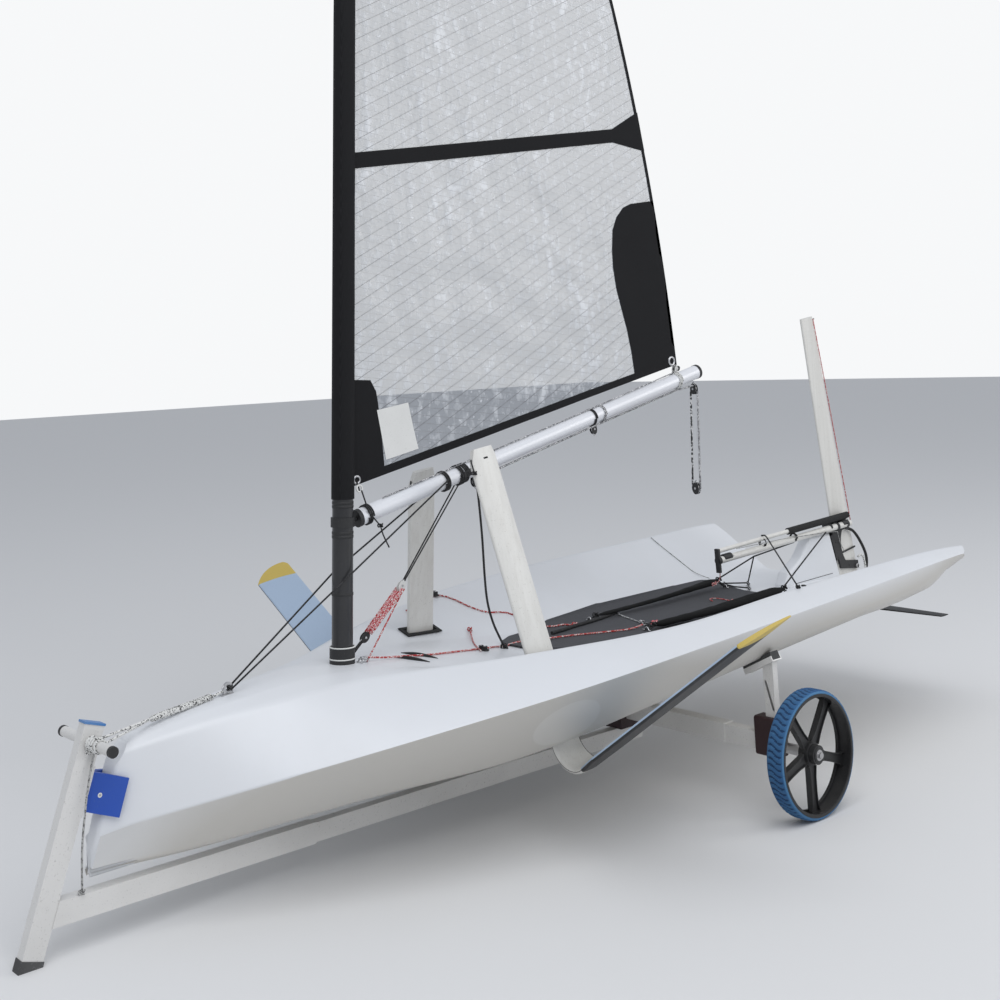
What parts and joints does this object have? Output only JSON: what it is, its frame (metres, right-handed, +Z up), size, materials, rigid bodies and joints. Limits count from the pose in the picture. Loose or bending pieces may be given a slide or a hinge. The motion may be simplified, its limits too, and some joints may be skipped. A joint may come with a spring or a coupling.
{
  "type": "sailing dinghy on launching dolly",
  "caption": "Single-handed foiling sailing dinghy with a flared white hull, clear film sail, raised L-foils and lifting rudder, parked on a two-wheel launching dolly.",
  "frame": {"origin": "centre of the parked dinghy's outer box, on the floor under it", "axes": "+X forward to the bow, +Y to port, +Z up the mast"},
  "size_m": [3.9046, 2.64, 5.4506],
  "materials": {
    "hull_gelcoat": "gloss",
    "deck_mat": "matt ribbed",
    "case_seal": "matt",
    "spar_carbon": "satin",
    "sleeve_cloth": "matt woven",
    "sail_film": "clear creased film",
    "batten_cloth": "matt woven",
    "boom_metal": "anodised satin",
    "black_moulding": "satin",
    "stainless": "polished",
    "foil_white": "semi gloss",
    "foil_blade": "semi gloss",
    "tip_ochre": "satin paint",
    "grip_foam": "matt foam",
    "webbing": "matt woven",
    "dolly_tube": "brushed, worn",
    "bracket_moulding": "matt",
    "bow_plate_blue": "satin",
    "cap_tape": "satin",
    "tyre_blue": "matt, worn",
    "rim_black": "satin",
    "foot_rubber": "matt"
  },
  "bodies": {
    "boat": {"hull": "hull_gelcoat", "cockpit_mat": "deck_mat", "mast_collar": "black_moulding", "foil_case_seal_port": "case_seal", "foil_case_seal_starboard": "case_seal", "bow_eye": "stainless", "hiking_strap_port": "webbing", "hiking_strap_starboard": "webbing", "rudder_gantry": "hull_gelcoat", "rudder_hinge_pin": "stainless", "bow_post": "dolly_tube", "post_foot": "foot_rubber", "post_cap": "cap_tape", "post_handle": "dolly_tube", "handle_plugs": "black_moulding", "bow_strip": "dolly_tube", "bow_plates": "bow_plate_blue", "beam_front": "dolly_tube", "beam_rear": "dolly_tube", "axle_tube": "dolly_tube", "axle_joint": "bracket_moulding", "axle_arm_port": "dolly_tube", "wheel_bracket_port": "bracket_moulding", "stub_axle_port": "stainless", "hull_support_port": "dolly_tube", "hull_cradle_port": "dolly_tube", "cradle_pad_port": "foot_rubber", "axle_arm_starboard": "dolly_tube", "wheel_bracket_starboard": "bracket_moulding", "stub_axle_starboard": "stainless", "hull_support_starboard": "dolly_tube", "hull_cradle_starboard": "dolly_tube", "cradle_pad_starboard": "foot_rubber"},
    "wheel_port": {"tyre_port": "tyre_blue", "rim_port": "rim_black"},
    "wheel_starboard": {"tyre_starboard": "tyre_blue", "rim_starboard": "rim_black"},
    "rig": {"mast_lower": "spar_carbon", "mast_upper": "spar_carbon", "luff_sleeve": "sleeve_cloth", "sail": "sail_film", "sail_battens": "batten_cloth", "boom_tube": "boom_metal", "boom_front_cap": "black_moulding", "boom_end_cap": "black_moulding", "gooseneck": "stainless"},
    "foil_port": {"foil_strut_port": "foil_white", "foil_blade_port": "foil_blade", "foil_tip_port": "tip_ochre"},
    "foil_starboard": {"foil_strut_starboard": "foil_white", "foil_blade_starboard": "foil_blade", "foil_tip_starboard": "tip_ochre"},
    "steering": {"rudder_head": "black_moulding", "tiller": "foil_white", "tiller_joint": "black_moulding", "tiller_extension": "foil_white", "extension_grip": "grip_foam"},
    "rudder": {"rudder_blade": "foil_white", "rudder_stabiliser": "black_moulding"}
  },
  "joints": [
    {"name": "wheel_port_spin", "type": "hinge", "parent": "boat", "child": "wheel_port", "pos_m": [-0.357, 0.85, 0.2], "axis": [0, 1, 0], "continuous": true},
    {"name": "wheel_starboard_spin", "type": "hinge", "parent": "boat", "child": "wheel_starboard", "pos_m": [-0.357, -0.85, 0.2], "axis": [0, 1, 0], "continuous": true},
    {"name": "boom_swing", "type": "hinge", "parent": "boat", "child": "rig", "pos_m": [0.91069, 0, 0.5], "axis": [-0.0314, 0, 0.9995], "range_deg": [-10, 10]},
    {"name": "foil_port_lift", "type": "slide", "parent": "boat", "child": "foil_port", "axis": [0.131, -0.2332, 0.9636], "range_m": [-0.2, 0]},
    {"name": "foil_starboard_lift", "type": "slide", "parent": "boat", "child": "foil_starboard", "axis": [0.131, 0.2332, 0.9636], "range_m": [-0.12, 0]},
    {"name": "rudder_steer", "type": "hinge", "parent": "boat", "child": "steering", "pos_m": [-1.719, 0, 0.69], "axis": [0.2924, 0, 0.9563], "range_deg": [-35, 35]},
    {"name": "rudder_lift", "type": "slide", "parent": "steering", "child": "rudder", "axis": [0.1495, 0, 0.9888], "range_m": [-0.31, 0]}
  ]
}
